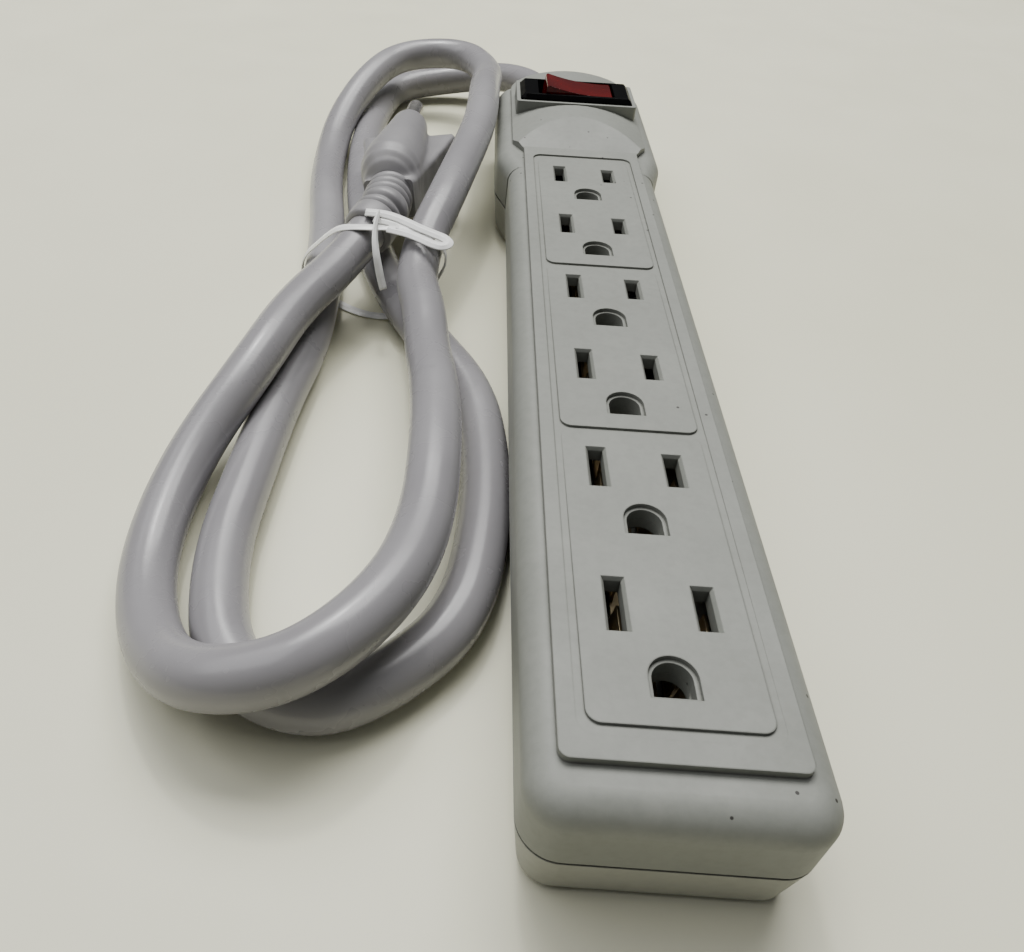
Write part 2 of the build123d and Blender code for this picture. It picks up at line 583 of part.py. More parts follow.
with BuildPart() as plug_body:
    for d, w, h, y in ((0, 15.0, 10.0, -3.8), (9, 20.0, 11.4, -4.2), (plug_len, 26.0, 12.4, -4.5)):
        with BuildSketch(plug_plane(d)):
            with Locations((0, y)):
                RectangleRounded(w, h, 3.2)
    loft()
    for d, r, y in ((0, 5.9, 0.6), (9, 7.2, 2.9), (20, 7.2, 4.1), (plug_len, 5.6, 5.2)):
        with BuildSketch(plug_plane(d)):
            with Locations((0, y)):
                Circle(r)
    loft()
write(plug_body.part, "plug_body")

with BuildPart() as plug_relief:
    with BuildSketch(plug_plane(0)):
        Circle(6.2)
    with BuildSketch(plug_plane(-20.0)):
        Circle(5.5)
    loft()
write(plug_relief.part, "plug_relief")

blade_len = 15.5
for name, x in (("plug_blade_hot", -blade_x), ("plug_blade_neutral", blade_x)):
    with BuildPart() as blade:
        with BuildSketch(plug_plane(plug_len)):
            with Locations((x, -5.95)):
                Rectangle(1.5, 6.3)
        extrude(amount=blade_len)
        end_face = blade.faces().sort_by(Axis(tuple(plug_o), tuple(plug_dir)))[-1]
        chamfer(end_face.edges(), 0.45)
    hole = Solid.make_cylinder(1.6, 6, Plane(origin=plug_plane(plug_len + 11.5).from_local_coords(Vector(x - 3, -5.95, 0)), z_dir=plug_left))
    write(blade.part - hole, name)
with BuildPart() as ground_pin:
    with BuildSketch(plug_plane(plug_len)):
        with Locations((0, 5.95)):
            Circle(2.375)
    extrude(amount=17.0)
    fillet(ground_pin.faces().sort_by(Axis(tuple(plug_o), tuple(plug_dir)))[-1].edges(), 1.9)
write(ground_pin.part, "plug_ground_pin")

# ---------------------------------------------------------------- tie round the waist of the coil
tie_y = 17.5
tie_x, tie_w = -53.4, 38.4
tie_z0, tie_z1 = 0.4, 23.4
tie_t, tie_b = 0.7, 2.8


def tie_section(amount, inner):
    """Closed band section, or the space inside it, as a slab across the waist."""
    with BuildPart() as slab:
        with BuildSketch(Plane.XZ.offset(-(tie_y + amount / 2))):
            with Locations((tie_x, (tie_z0 + tie_z1) / 2)):
                if inner:
                    RectangleRounded(tie_w - 2 * tie_t, tie_z1 - tie_z0 - 2 * tie_t, 5.0)
                else:
                    RectangleRounded(tie_w, tie_z1 - tie_z0, 5.7)
        extrude(amount=amount)
    return slab.part


tie_inside = tie_section(tie_b, True)
cord_tie = tie_section(tie_b, False) - tie_inside
write(cord_tie, "cord_tie")

# ---------------------------------------------------------------- tied coil, one closed solid round everything that lies in it
waist = (-71.0, -36.0, 8.0, 27.0)
waist_top = tie_z1 - tie_t
with BuildPart() as cord_coil:
    outer = far_out + near_out
    with BuildSketch(Plane.XY):
        with BuildLine():
            FilletPolyline(*outer, radius=smooth_loop(outer), close=True)
        make_face()
        for hole in (far_hole, near_hole):
            with BuildLine():
                FilletPolyline(*hole, radius=smooth_loop(hole), close=True)
            make_face(mode=Mode.SUBTRACT)
    extrude(amount=coil_h)
    with BuildSketch(Plane.XY):
        with Locations(((-62.0 - 38.5) / 2, (waist[2] + waist[3]) / 2)):
            RectangleRounded(23.5, waist[3] - waist[2], 5.0)
    extrude(amount=waist_top)
    with Locations((tie_x, tie_y, 15)):
        Box(60, tie_b, 60, mode=Mode.SUBTRACT)
    with BuildSketch(Plane.XZ.offset(-(tie_y + tie_b / 2))):
        with Locations((tie_x, (tie_z0 + tie_z1) / 2)):
            RectangleRounded(tie_w - 2 * tie_t, tie_z1 - tie_z0 - 2 * tie_t, 5.0)
    extrude(amount=tie_b)
coil = cord_coil.part
for inside in (plug_body.part, plug_relief.part, lead):
    coil = coil - inside
coil = max(coil.solids(), key=lambda one: one.volume)
write(coil, "cord_coil")
print("coil volume", coil.volume, "valid", coil.is_valid)
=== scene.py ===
import math

import bmesh
import bpy
from mathutils import Matrix, Vector


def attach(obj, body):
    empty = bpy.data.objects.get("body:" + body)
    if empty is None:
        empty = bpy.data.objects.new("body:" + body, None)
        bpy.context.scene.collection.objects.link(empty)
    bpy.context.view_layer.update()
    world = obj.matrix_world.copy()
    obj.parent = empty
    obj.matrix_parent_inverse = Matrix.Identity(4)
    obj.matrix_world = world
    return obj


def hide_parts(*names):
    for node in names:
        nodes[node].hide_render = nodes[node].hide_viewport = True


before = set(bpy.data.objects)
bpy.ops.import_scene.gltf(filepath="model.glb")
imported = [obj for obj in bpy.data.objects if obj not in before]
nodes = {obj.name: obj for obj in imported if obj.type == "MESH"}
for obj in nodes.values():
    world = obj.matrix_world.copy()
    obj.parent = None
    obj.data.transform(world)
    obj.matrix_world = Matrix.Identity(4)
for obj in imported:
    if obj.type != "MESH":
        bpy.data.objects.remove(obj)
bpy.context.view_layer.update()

MM = 0.001


def mm(*xyz):
    return Vector(xyz) * MM


# ---------------------------------------------------------------- camera, at the photograph's angle
cam_data = bpy.data.cameras.new("camera")
cam = bpy.data.objects.new("camera", cam_data)
bpy.context.scene.collection.objects.link(cam)
right = Vector((0.997742, 0.052443, 0.041959))
down = Vector((0.066413, -0.677260, -0.732740))
forward = Vector((-0.010010, 0.733872, -0.679214))
rot = Matrix((right, -down, -forward)).transposed()
cam.matrix_world = Matrix.Translation(mm(-31.402, -170.094, 118.748)) @ rot.to_4x4()
cam_data.sensor_width = 36.0
cam_data.lens = 30.081
cam_data.shift_x = 0.0734
cam_data.shift_y = -0.0011
cam_data.clip_start = 0.01
cam_data.clip_end = 20.0
bpy.context.scene.camera = cam


# ---------------------------------------------------------------- node helpers
def new_material(name):
    m = bpy.data.materials.new(name)
    m.use_nodes = True
    nt = m.node_tree
    nt.nodes.clear()
    out = nt.nodes.new("ShaderNodeOutputMaterial")
    bsdf = nt.nodes.new("ShaderNodeBsdfPrincipled")
    nt.links.new(bsdf.outputs["BSDF"], out.inputs["Surface"])
    return m, nt, bsdf


def noise(nt, scale, detail=3.0, rough=0.5, distortion=0.0, stretch=None):
    tc = nt.nodes.new("ShaderNodeTexCoord")
    n = nt.nodes.new("ShaderNodeTexNoise")
    n.inputs["Scale"].default_value = scale
    n.inputs["Detail"].default_value = detail
    n.inputs["Roughness"].default_value = rough
    n.inputs["Distortion"].default_value = distortion
    if stretch:
        mp = nt.nodes.new("ShaderNodeMapping")
        mp.inputs["Scale"].default_value = stretch
        nt.links.new(tc.outputs["Object"], mp.inputs["Vector"])
        nt.links.new(mp.outputs["Vector"], n.inputs["Vector"])
    else:
        nt.links.new(tc.outputs["Object"], n.inputs["Vector"])
    return n.outputs["Fac"]


def ramp(nt, fac, stops, interp="LINEAR"):
    r = nt.nodes.new("ShaderNodeValToRGB")
    r.color_ramp.interpolation = interp
    el = r.color_ramp.elements
    while len(el) < len(stops):
        el.new(0.5)
    for e, (pos, col) in zip(el, stops):
        e.position = pos
        e.color = (*col, 1.0) if len(col) == 3 else col
    nt.links.new(fac, r.inputs["Fac"])
    return r.outputs["Color"]


def mix(nt, fac, a, b, mode="MIX"):
    n = nt.nodes.new("ShaderNodeMix")
    n.data_type = "RGBA"
    n.blend_type = mode
    n.clamp_factor = True
    if isinstance(fac, float):
        n.inputs[0].default_value = fac
    else:
        nt.links.new(fac, n.inputs[0])
    for socket, value in ((n.inputs[6], a), (n.inputs[7], b)):
        if isinstance(value, tuple):
            socket.default_value = (*value, 1.0) if len(value) == 3 else value
        else:
            nt.links.new(value, socket)
    return n.outputs[2]


def grey(v):
    return (v, v, v)


def bump(nt, bsdf, layers, edge=None):
    """layers: (height socket, distance in m, strength). edge: radius in m that softens the normals at edges."""
    last = None
    if edge:
        b = nt.nodes.new("ShaderNodeBevel")
        b.samples = 4
        b.inputs["Radius"].default_value = edge
        last = b.outputs["Normal"]
    for height, distance, strength in layers:
        n = nt.nodes.new("ShaderNodeBump")
        n.inputs["Distance"].default_value = distance
        n.inputs["Strength"].default_value = strength
        nt.links.new(height, n.inputs["Height"])
        if last:
            nt.links.new(last, n.inputs["Normal"])
        last = n.outputs["Normal"]
    if last:
        nt.links.new(last, bsdf.inputs["Normal"])


def painted_crevice_shade(nt, col, distance, low, high, shade):
    """Painted shade: darkening, broken into patches, where faces meet and inside openings, driven by ambient
    occlusion.
    """
    ao = nt.nodes.new("ShaderNodeAmbientOcclusion")
    ao.samples = 6
    ao.inputs["Distance"].default_value = distance
    fac = ramp(nt, ao.outputs["AO"], [(low, grey(1.0)), (high, grey(0.0))])
    patchy = ramp(nt, noise(nt, 240.0, 4.0, 0.65), [(0.34, grey(0.55)), (0.66, grey(1.0))])
    fac = mix(nt, 1.0, fac, patchy, "MULTIPLY")
    return mix(nt, fac, col, mix(nt, 1.0, col, shade, "MULTIPLY"))


def dress(obj, material):
    obj.data.materials.clear()
    obj.data.materials.append(material)


# ---------------------------------------------------------------- materials
def moulded_plastic(name, light, dark, rough=0.42, grain=900.0, grain_d=0.00002, edge=0.00035, dust=0.0):
    """Grey moulded case plastic: fine spark-eroded grain, faint mottling, rubbed and dusty marks, and painted shade
    where faces meet and inside openings.
    """
    m, nt, bsdf = new_material(name)
    mottle = noise(nt, 38.0, 4.0, 0.55)
    col = ramp(nt, mottle, [(0.30, dark), (0.70, light)])
    fine = noise(nt, 620.0, 2.0, 0.6)
    speck = ramp(nt, fine, [(0.30, grey(0.93)), (0.60, grey(1.0))])
    col = mix(nt, 1.0, col, speck, "MULTIPLY")
    # a few tiny dark specks
    tc = nt.nodes.new("ShaderNodeTexCoord")
    vor = nt.nodes.new("ShaderNodeTexVoronoi")
    vor.inputs["Scale"].default_value = 230.0
    nt.links.new(tc.outputs["Object"], vor.inputs["Vector"])
    dots = ramp(nt, vor.outputs["Distance"], [(0.0, grey(1.0)), (0.055, grey(1.0)), (0.070, grey(0.0))])
    sparse = ramp(nt, noise(nt, 23.0, 1.0, 0.5), [(0.575, grey(0.0)), (0.60, grey(1.0))])
    dot_fac = mix(nt, 1.0, dots, sparse, "MULTIPLY")
    col = mix(nt, dot_fac, col, (0.035, 0.033, 0.03))
    if dust:
        d = ramp(nt, noise(nt, 55.0, 5.0, 0.65, 0.6), [(0.56, grey(0.0)), (0.78, grey(dust))])
        col = mix(nt, d, col, (0.42, 0.41, 0.37))
    # painted shade: a thin darkening at the foot of steps and where faces meet
    col = painted_crevice_shade(nt, col, 0.0008, 0.40, 0.76, (0.42, 0.40, 0.36))
    # painted shade: deep darkening inside slots and openings
    col = painted_crevice_shade(nt, col, 0.006, 0.10, 0.38, (0.06, 0.06, 0.06))
    nt.links.new(col, bsdf.inputs["Base Color"])
    rr = ramp(nt, noise(nt, 46.0, 4.0, 0.6), [(0.3, grey(rough - 0.05)), (0.7, grey(rough + 0.09))])
    nt.links.new(rr, bsdf.inputs["Roughness"])
    bsdf.inputs["Specular IOR Level"].default_value = 0.38
    scratch = noise(nt, 120.0, 3.0, 0.5, 0.0, (9.0, 0.6, 1.0))
    bump(nt, bsdf, [(noise(nt, grain * 1.6, 2.0, 0.6), grain_d, 0.55), (mottle, 0.00006, 0.12), (scratch, 0.00003, 0.10)], edge)
    return m


def vinyl(name, light, dark, rough=0.40, grain=0.00002):
    """Soft cord jacket: smooth with fine flow lines, handling marks, a slight bloom and painted shade where it lies
    against itself and other parts.
    """
    m, nt, bsdf = new_material(name)
    mottle = noise(nt, 26.0, 5.0, 0.6)
    col = ramp(nt, mottle, [(0.28, dark), (0.72, light)])
    scuff = ramp(nt, noise(nt, 58.0, 6.0, 0.7, 0.8), [(0.61, grey(0.0)), (0.76, grey(0.36))])
    col = mix(nt, scuff, col, tuple(c * 0.55 for c in dark))
    bloom = ramp(nt, noise(nt, 14.0, 2.0, 0.5), [(0.45, grey(0.0)), (0.8, grey(0.18))])
    col = mix(nt, bloom, col, (0.55, 0.55, 0.55))
    # painted shade where strands lie against each other and against the case
    col = painted_crevice_shade(nt, col, 0.0016, 0.30, 0.75, (0.45, 0.44, 0.44))
    nt.links.new(col, bsdf.inputs["Base Color"])
    rr = ramp(nt, noise(nt, 60.0, 4.0, 0.6), [(0.3, grey(rough - 0.07)), (0.75, grey(rough + 0.10))])
    nt.links.new(rr, bsdf.inputs["Roughness"])
    bsdf.inputs["Specular IOR Level"].default_value = 0.5
    bsdf.inputs["Sheen Weight"].default_value = 0.06
    bump(nt, bsdf, [(noise(nt, 1500.0, 2.0, 0.6), grain, 0.4), (noise(nt, 90.0, 3.0, 0.5), 0.0001, 0.16)])
    return m


def metal(name, col, rough, spread=0.08):
    m, nt, bsdf = new_material(name)
    n = noise(nt, 160.0, 4.0, 0.6)
    tint = ramp(nt, n, [(0.3, tuple(c * 0.82 for c in col)), (0.7, col)])
    nt.links.new(tint, bsdf.inputs["Base Color"])
    bsdf.inputs["Metallic"].default_value = 1.0
    nt.links.new(ramp(nt, n, [(0.3, grey(rough)), (0.7, grey(rough + spread))]), bsdf.inputs["Roughness"])
    bump(nt, bsdf, [(noise(nt, 420.0, 2.0, 0.5), 0.00001, 0.12)], 0.0001)
    return m


def plain(name, light, dark, rough, scale=300.0, grain=0.00003, strength=0.35, edge=None, spec=0.5):
    m, nt, bsdf = new_material(name)
    n = noise(nt, scale, 3.0, 0.55)
    nt.links.new(ramp(nt, n, [(0.3, dark), (0.7, light)]), bsdf.inputs["Base Color"])
    nt.links.new(ramp(nt, noise(nt, scale * 0.4, 3.0, 0.5), [(0.3, grey(rough - 0.04)), (0.7, grey(rough + 0.06))]), bsdf.inputs["Roughness"])
    bsdf.inputs["Specular IOR Level"].default_value = spec
    bump(nt, bsdf, [(noise(nt, scale * 3.0, 2.0, 0.5), grain, strength)], edge)
    return m


case_top = moulded_plastic("case_top", (0.232, 0.240, 0.216), (0.208, 0.215, 0.193), rough=0.50, dust=0.12)
case_bottom = moulded_plastic("case_bottom", (0.320, 0.322, 0.285), (0.285, 0.288, 0.255), rough=0.50, dust=0.16)
jacket = vinyl("cord_jacket", (0.266, 0.258, 0.269), (0.218, 0.211, 0.221), rough=0.27)
plug_vinyl = vinyl("plug_vinyl", (0.225, 0.218, 0.225), (0.190, 0.184, 0.190), rough=0.42, grain=0.00004)
brass = metal("contact_brass", (0.50, 0.41, 0.26), 0.38)
copper = metal("contact_copper", (0.78, 0.46, 0.30), 0.32)
nickel = metal("blade_nickel", (0.70, 0.68, 0.64), 0.22)
zinc = metal("screw_zinc", (0.58, 0.59, 0.60), 0.34)
black = plain("switch_black", (0.0022, 0.0022, 0.0024), (0.0014, 0.0014, 0.0015), 0.30, 500.0, 0.00003, 0.3, 0.00025, 0.03)
nylon = plain("plunger_nylon", (0.78, 0.76, 0.68), (0.70, 0.68, 0.60), 0.42)
green_pvc = plain("wire_green", (0.020, 0.27, 0.085), (0.015, 0.22, 0.07), 0.38)
white_pvc = plain("wire_white", (0.78, 0.78, 0.75), (0.70, 0.70, 0.67), 0.38)
black_pvc = plain("wire_black", (0.025, 0.025, 0.026), (0.016, 0.016, 0.017), 0.36)
ceramic = plain("resistor_tan", (0.58, 0.43, 0.26), (0.48, 0.35, 0.20), 0.45)
tie_white = plain("tie_white", (0.90, 0.90, 0.88), (0.82, 0.82, 0.80), 0.32, 420.0, 0.00003, 0.4)

# clear red rocker: coloured through, with a moulded matte floor showing darker inside
red, nt, bsdf = new_material("rocker_red")
n = noise(nt, 90.0, 3.0, 0.5)
nt.links.new(ramp(nt, n, [(0.3, (0.115, 0.0006, 0.0006)), (0.7, (0.20, 0.0016, 0.0012))]), bsdf.inputs["Base Color"])
nt.links.new(ramp(nt, noise(nt, 260.0, 3.0, 0.5), [(0.3, grey(0.10)), (0.8, grey(0.20))]), bsdf.inputs["Roughness"])
bsdf.inputs["Transmission Weight"].default_value = 0.55
bsdf.inputs["IOR"].default_value = 1.45
bsdf.inputs["Specular IOR Level"].default_value = 0.3
bump(nt, bsdf, [(noise(nt, 400.0, 2.0, 0.5), 0.00003, 0.2)], 0.0003)

# lamp glass
glass, nt, bsdf = new_material("lamp_glass")
nt.links.new(ramp(nt, noise(nt, 300.0, 2.0, 0.5), [(0.3, (0.90, 0.72, 0.60)), (0.7, (0.98, 0.80, 0.68))]), bsdf.inputs["Base Color"])
bsdf.inputs["Transmission Weight"].default_value = 0.85
bsdf.inputs["Roughness"].default_value = 0.08
bsdf.inputs["IOR"].default_value = 1.5

for node, m in {
    "top_cover": case_top, "bottom_cover": case_bottom, "cover_screws": zinc, "neutral_bus": brass, "hot_bus": brass,
    "ground_bus": brass, "switch_housing": black, "rocker": red, "line_terminal": brass, "load_terminal": brass,
    "lamp_terminal": brass, "moving_contact": copper, "contact_plunger": nylon, "plunger_spring": zinc,
    "neon_lamp": glass, "lamp_resistor": ceramic, "ground_wire": green_pvc, "neutral_wire": white_pvc,
    "hot_line_wire": black_pvc, "hot_switched_wire": black_pvc, "lamp_wire": white_pvc,
    "plug_blade_hot": nickel, "plug_blade_neutral": nickel, "plug_ground_pin": nickel,
}.items():
    dress(nodes[node], m)


# ---------------------------------------------------------------- cord
def nurbs(name, points, radius, resolution=14):
    cu = bpy.data.curves.new(name, "CURVE")
    cu.dimensions = "3D"
    sp = cu.splines.new("NURBS")
    sp.points.add(len(points) - 1)
    for p, q in zip(sp.points, points):
        p.co = (q[0] * MM, q[1] * MM, q[2] * MM, 1.0)
    sp.order_u = 3
    sp.use_endpoint_u = True
    sp.resolution_u = resolution
    cu.resolution_u = resolution
    cu.bevel_depth = radius
    cu.bevel_resolution = 9
    cu.use_fill_caps = True
    ob = bpy.data.objects.new(name, cu)
    bpy.context.scene.collection.objects.link(ob)
    return ob


def line_points(curve_obj):
    """The curve's own evaluated line, as points in metres."""
    plain_curve = curve_obj.data.copy()
    plain_curve.bevel_depth = 0.0
    plain_curve.use_fill_caps = False
    tmp = bpy.data.objects.new("line", plain_curve)
    bpy.context.scene.collection.objects.link(tmp)
    bpy.context.view_layer.update()
    mesh = bpy.data.meshes.new_from_object(tmp.evaluated_get(bpy.context.evaluated_depsgraph_get()))
    pts = [v.co.copy() for v in mesh.vertices]
    bpy.data.objects.remove(tmp)
    bpy.data.meshes.remove(mesh)
    return pts


cord_d = 9.8
route = [
    (-5.56, 143.32, 13.0), (-6.80, 147.12, 13.0), (-9.58, 155.68, 13.0), (-17.0, 166.3, 11.6), (-27.0, 172.6, 9.2), (-38.0, 174.8, 7.0),
    (-58.9, 168.3, 5.3), (-63.3, 150.5, 5.0), (-65.4, 129.5, 4.9), (-65.0, 108.3, 5.1), (-63.2, 86.6, 5.3), (-60.1, 64.3, 4.8),
    (-55.3, 42.2, 5.4), (-48.7, 20.5, 5.9), (-38.5, 1.0, 5.0), (-26.8, -18.5, 4.9), (-23.6, -38.8, 4.9), (-23.4, -61.0, 4.9),
    (-27.0, -82.3, 5.3), (-37.5, -94.4, 5.0), (-49.9, -101.1, 4.8), (-64.4, -94.7, 5.5), (-70.0, -72.1, 4.9), (-69.1, -48.3, 5.0),
    (-67.8, -27.0, 5.2), (-65.2, -7.6, 4.8), (-65.1, 12.3, 6.0), (-66.9, 31.9, 4.8), (-69.2, 53.5, 5.1), (-73.1, 75.8, 5.2),
    (-75.3, 98.2, 4.7), (-74.5, 120.6, 9.6), (-66.6, 143.3, 17.1), (-56.5, 161.3, 19.0), (-34.3, 163.0, 20.2), (-25.5, 141.6, 20.6),
    (-27.0, 120.0, 23.4), (-27.3, 103.0, 24.0), (-28.2, 86.0, 24.0), (-30.6, 70.0, 23.4), (-33.4, 54.0, 22.8), (-36.4, 38.5, 21.5),
    (-40.4, 23.5, 17.8), (-41.6, 9.5, 14.9), (-38.6, -3.4, 14.9), (-37.0, -18.1, 14.0), (-34.6, -33.4, 16.2), (-33.5, -51.7, 16.8),
    (-34.0, -71.6, 16.0), (-38.9, -88.7, 17.4), (-50.8, -102.5, 17.3), (-65.7, -102.6, 12.7), (-76.0, -92.4, 6.4), (-82.5, -73.6, 4.4),
    (-81.2, -50.2, 7.4), (-71.9, -27.7, 14.8), (-67.3, -6.2, 15.8), (-58.5, 14.3, 16.2), (-51.5, 34.5, 19.6),
]
cord = nurbs("supply_cord", route, cord_d / 2 * MM)
dress(cord, jacket)
cord_line = line_points(cord)

# ---------------------------------------------------------------- sweeps
def tie_line(points, resolution=10):
    """A strip's centre line through the given control points, as the evaluated curve."""
    ob = nurbs("strip", [tuple(c / MM for c in p) for p in points], 0.0, resolution)
    out = line_points(ob)
    bpy.data.objects.remove(ob)
    return out


def lathe_along(name, path, radii, segments=48, squash=None):
    """A round body of varying radius swept along a path of points, closed at both ends."""
    bm = bmesh.new()
    rings = []
    up = Vector((0, 0, 1))
    for i, (p, r) in enumerate(zip(path, radii)):
        t = (path[min(i + 1, len(path) - 1)] - path[max(i - 1, 0)]).normalized()
        x = t.cross(up).normalized()
        y = x.cross(t).normalized()
        rings.append([bm.verts.new(p + (x * math.cos(a) + y * math.sin(a)) * r) for a in (2 * math.pi * k / segments for k in range(segments))])
    for a, b in zip(rings[:-1], rings[1:]):
        for k in range(segments):
            bm.faces.new((a[k], a[(k + 1) % segments], b[(k + 1) % segments], b[k]))
    bm.faces.new(list(reversed(rings[0])))
    bm.faces.new(rings[-1])
    bmesh.ops.recalc_face_normals(bm, faces=bm.faces)
    me = bpy.data.meshes.new(name)
    bm.to_mesh(me)
    bm.free()
    for f in me.polygons:
        f.use_smooth = len(f.vertices) == 4
    ob = bpy.data.objects.new(name, me)
    bpy.context.scene.collection.objects.link(ob)
    return ob


def resample(points, step):
    out = [points[0].copy()]
    need = step
    for a, b in zip(points[:-1], points[1:]):
        seg = (b - a).length
        at = 0.0
        while seg - at >= need:
            at += need
            out.append(a.lerp(b, at / seg))
            need = step
        need -= seg - at
    return out


# ---------------------------------------------------------------- gland and bend relief at the case
boot_turn = math.radians(18)
boot_dir = Vector((-math.sin(boot_turn), math.cos(boot_turn), 0))
gland_path, gland_r = [], []
for y, r in ((118.95, 7.2), (119.1, 7.9), (121.1, 7.9), (121.3, 6.4), (124.15, 6.4), (124.2, 7.4), (124.6, 7.65), (126.6, 7.65), (127.2, 7.3)):
    gland_path.append(mm(0, y, 13))
    gland_r.append(r * MM)
for k in range(0, 97):
    s = 2.2 + (19.6) * k / 96
    bend = min(1.0, s / 6.0)
    base = 7.15 - 1.55 * (s / 22.0)
    groove = 0.42 * max(0.0, math.sin(2 * math.pi * (s - 3.2) / 3.4)) ** 0.6 if 3.2 < s < 19.6 else 0.0
    centre = mm(0, 126.2, 13) + boot_dir * s * MM * 1.0
    gland_path.append(centre)
    gland_r.append((base - groove) * MM)
gland_path.append(mm(0, 126.2, 13) + boot_dir * 22.0 * MM)
gland_r.append(5.15 * MM)
gland = lathe_along("cord_boot", gland_path, gland_r, 56)
dress(gland, plug_vinyl)
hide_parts("cord_gland")
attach(gland, "case")

# ---------------------------------------------------------------- plug
pt, pp, pr = math.radians(4.0), math.radians(-2.0), math.radians(6.0)
plug_dir = Vector((math.sin(pt) * math.cos(pp), math.cos(pt) * math.cos(pp), math.sin(pp)))
plug_left = Matrix.Rotation(-pr, 3, plug_dir) @ Vector((-math.cos(pt), math.sin(pt), 0))
plug_up = plug_dir.cross(plug_left)
plug_o = mm(-50.9, 43.5, 19.3)
plug_len = 37.5


def lerp_table(table, d):
    for (d0, *a), (d1, *b) in zip(table[:-1], table[1:]):
        if d <= d1:
            t = max(0.0, (d - d0) / (d1 - d0))
            t = t * t * (3 - 2 * t) * 0.5 + t * 0.5
            return [x + (y - x) * t for x, y in zip(a, b)]
    return list(table[-1][1:])


# the moulding sits slightly turned on its pins
body_left = Matrix.Rotation(math.radians(-1.5), 3, plug_dir) @ plug_left
body_up = Matrix.Rotation(math.radians(-1.5), 3, plug_dir) @ plug_up

# d, wing half width, wing half height, wing centre height, boss radius, boss height, boss offset to the left
plug_table = [
    (0.0, 6.5, 5.2, -0.8, 0.5, -1.0, 0.1), (1.2, 6.6, 5.2, -1.0, 2.0, 1.0, 0.3), (2.2, 6.8, 5.2, -1.3, 4.6, 1.6, 0.5), (4.0, 7.0, 5.2, -1.7, 6.3, 2.2, 0.7),
    (6.5, 7.2, 5.2, -2.1, 7.6, 2.7, 0.8), (9.5, 7.5, 5.2, -2.4, 8.2, 3.0, 0.8), (14.0, 8.4, 5.3, -2.7, 8.1, 3.4, 0.6),
    (22.0, 10.3, 5.5, -2.9, 7.2, 4.1, 0.0), (30.0, 12.2, 5.7, -3.0, 6.1, 4.9, -0.4), (36.4, 13.6, 5.8, -3.0, 5.3, 5.3, -0.5),
    (37.2, 13.4, 5.6, -3.0, 5.1, 5.3, -0.5), (37.5, 12.9, 5.2, -3.0, 4.8, 5.3, -0.5)]


def plug_field(x, y, a, b, c, r, h, o):
    """Signed distance to the dished wing and the boss together, with a soft saddle between them."""
    corner = min(1.3, b * 0.5)
    lift = 0.5 * min(1.0, abs(x) / 13.5) ** 2 * min(1.0, max(0.0, (a - 7.0) / 6.0))
    qx, qy = abs(x) - (a - corner), abs(y - c - lift) - (b - corner)
    wing = math.hypot(max(qx, 0.0), max(qy, 0.0)) + min(max(qx, qy), 0.0) - corner
    boss = math.hypot(x - o, y - h) - r
    k = 1.7
    m = max(k - abs(wing - boss), 0.0) / k
    return min(wing, boss) - m * m * k * 0.25


bm = bmesh.new()
rings = []
segs = 120
stations = [0.0, 0.6, 1.2, 1.6] + [0.5 * i for i in range(4, 20)] + [10.0 + 1.2 * i for i in range(0, 22)] + [36.4, 36.9, 37.2, 37.4, 37.5]
for d in stations:
    a, b, c, r, h, o = lerp_table(plug_table, d)
    ring = []
    for k in range(segs):
        th = 2 * math.pi * k / segs
        cx, cy = math.cos(th), math.sin(th)
        ox, oy = body_left * cx, body_up * cy
        lo, hi = 0.0, 22.0
        for _ in range(26):
            mid = (lo + hi) / 2
            if plug_field(cx * mid, 0.3 + cy * mid, a, b, c, r, h, o) > 0:
                hi = mid
            else:
                lo = mid
        ring.append(bm.verts.new(plug_o + plug_dir * d * MM + (ox + oy) * lo * MM + body_up * 0.3 * MM))
    rings.append(ring)
for a, b in zip(rings[:-1], rings[1:]):
    for k in range(segs):
        bm.faces.new((a[k], a[(k + 1) % segs], b[(k + 1) % segs], b[k]))
bm.faces.new(list(reversed(rings[0])))
bm.faces.new(rings[-1])
bmesh.ops.recalc_face_normals(bm, faces=bm.faces)
me = bpy.data.meshes.new("plug_shell")
bm.to_mesh(me)
bm.free()
for f in me.polygons:
    f.use_smooth = len(f.vertices) == 4
plug = bpy.data.objects.new("plug_shell", me)
bpy.context.scene.collection.objects.link(plug)
dress(plug, plug_vinyl)
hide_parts("plug_body")
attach(plug, "case")

# ribbed bend relief: starts on the cord's own line and ends in the plug
tail = resample(list(reversed(cord_line)), 0.0005)
tail = [p for p in tail if (p - tail[0]).length < 0.0105]
relief_line = list(reversed(tail))
joint = relief_line[-1]
steps = 40
for k in range(1, steps + 1):
    t = k / steps
    target = plug_o + plug_dir * 1.2 * MM
    relief_line.append(joint.lerp(target, t))
relief_line = resample(relief_line, 0.0003)
total = 0.0003 * (len(relief_line) - 1)
relief_r = []
for i, p in enumerate(relief_line):
    s = i * 0.3
    if s < 0.9:
        r = 5.15 + 1.15 * math.sqrt(s / 0.9)
    elif s < 5.4:
        r = 6.3 + 0.12 * math.sin((s - 0.9) / 4.5 * math.pi)
    else:
        ph = (s - 5.4) / 3.3
        r = 5.45 + 0.95 * (max(0.0, 0.5 - 0.5 * math.cos(2 * math.pi * ph))) ** 0.5
    relief_r.append(r * MM)
relief = lathe_along("plug_bend_relief", relief_line, relief_r, 56)
dress(relief, plug_vinyl)
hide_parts("plug_relief")
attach(relief, "case")


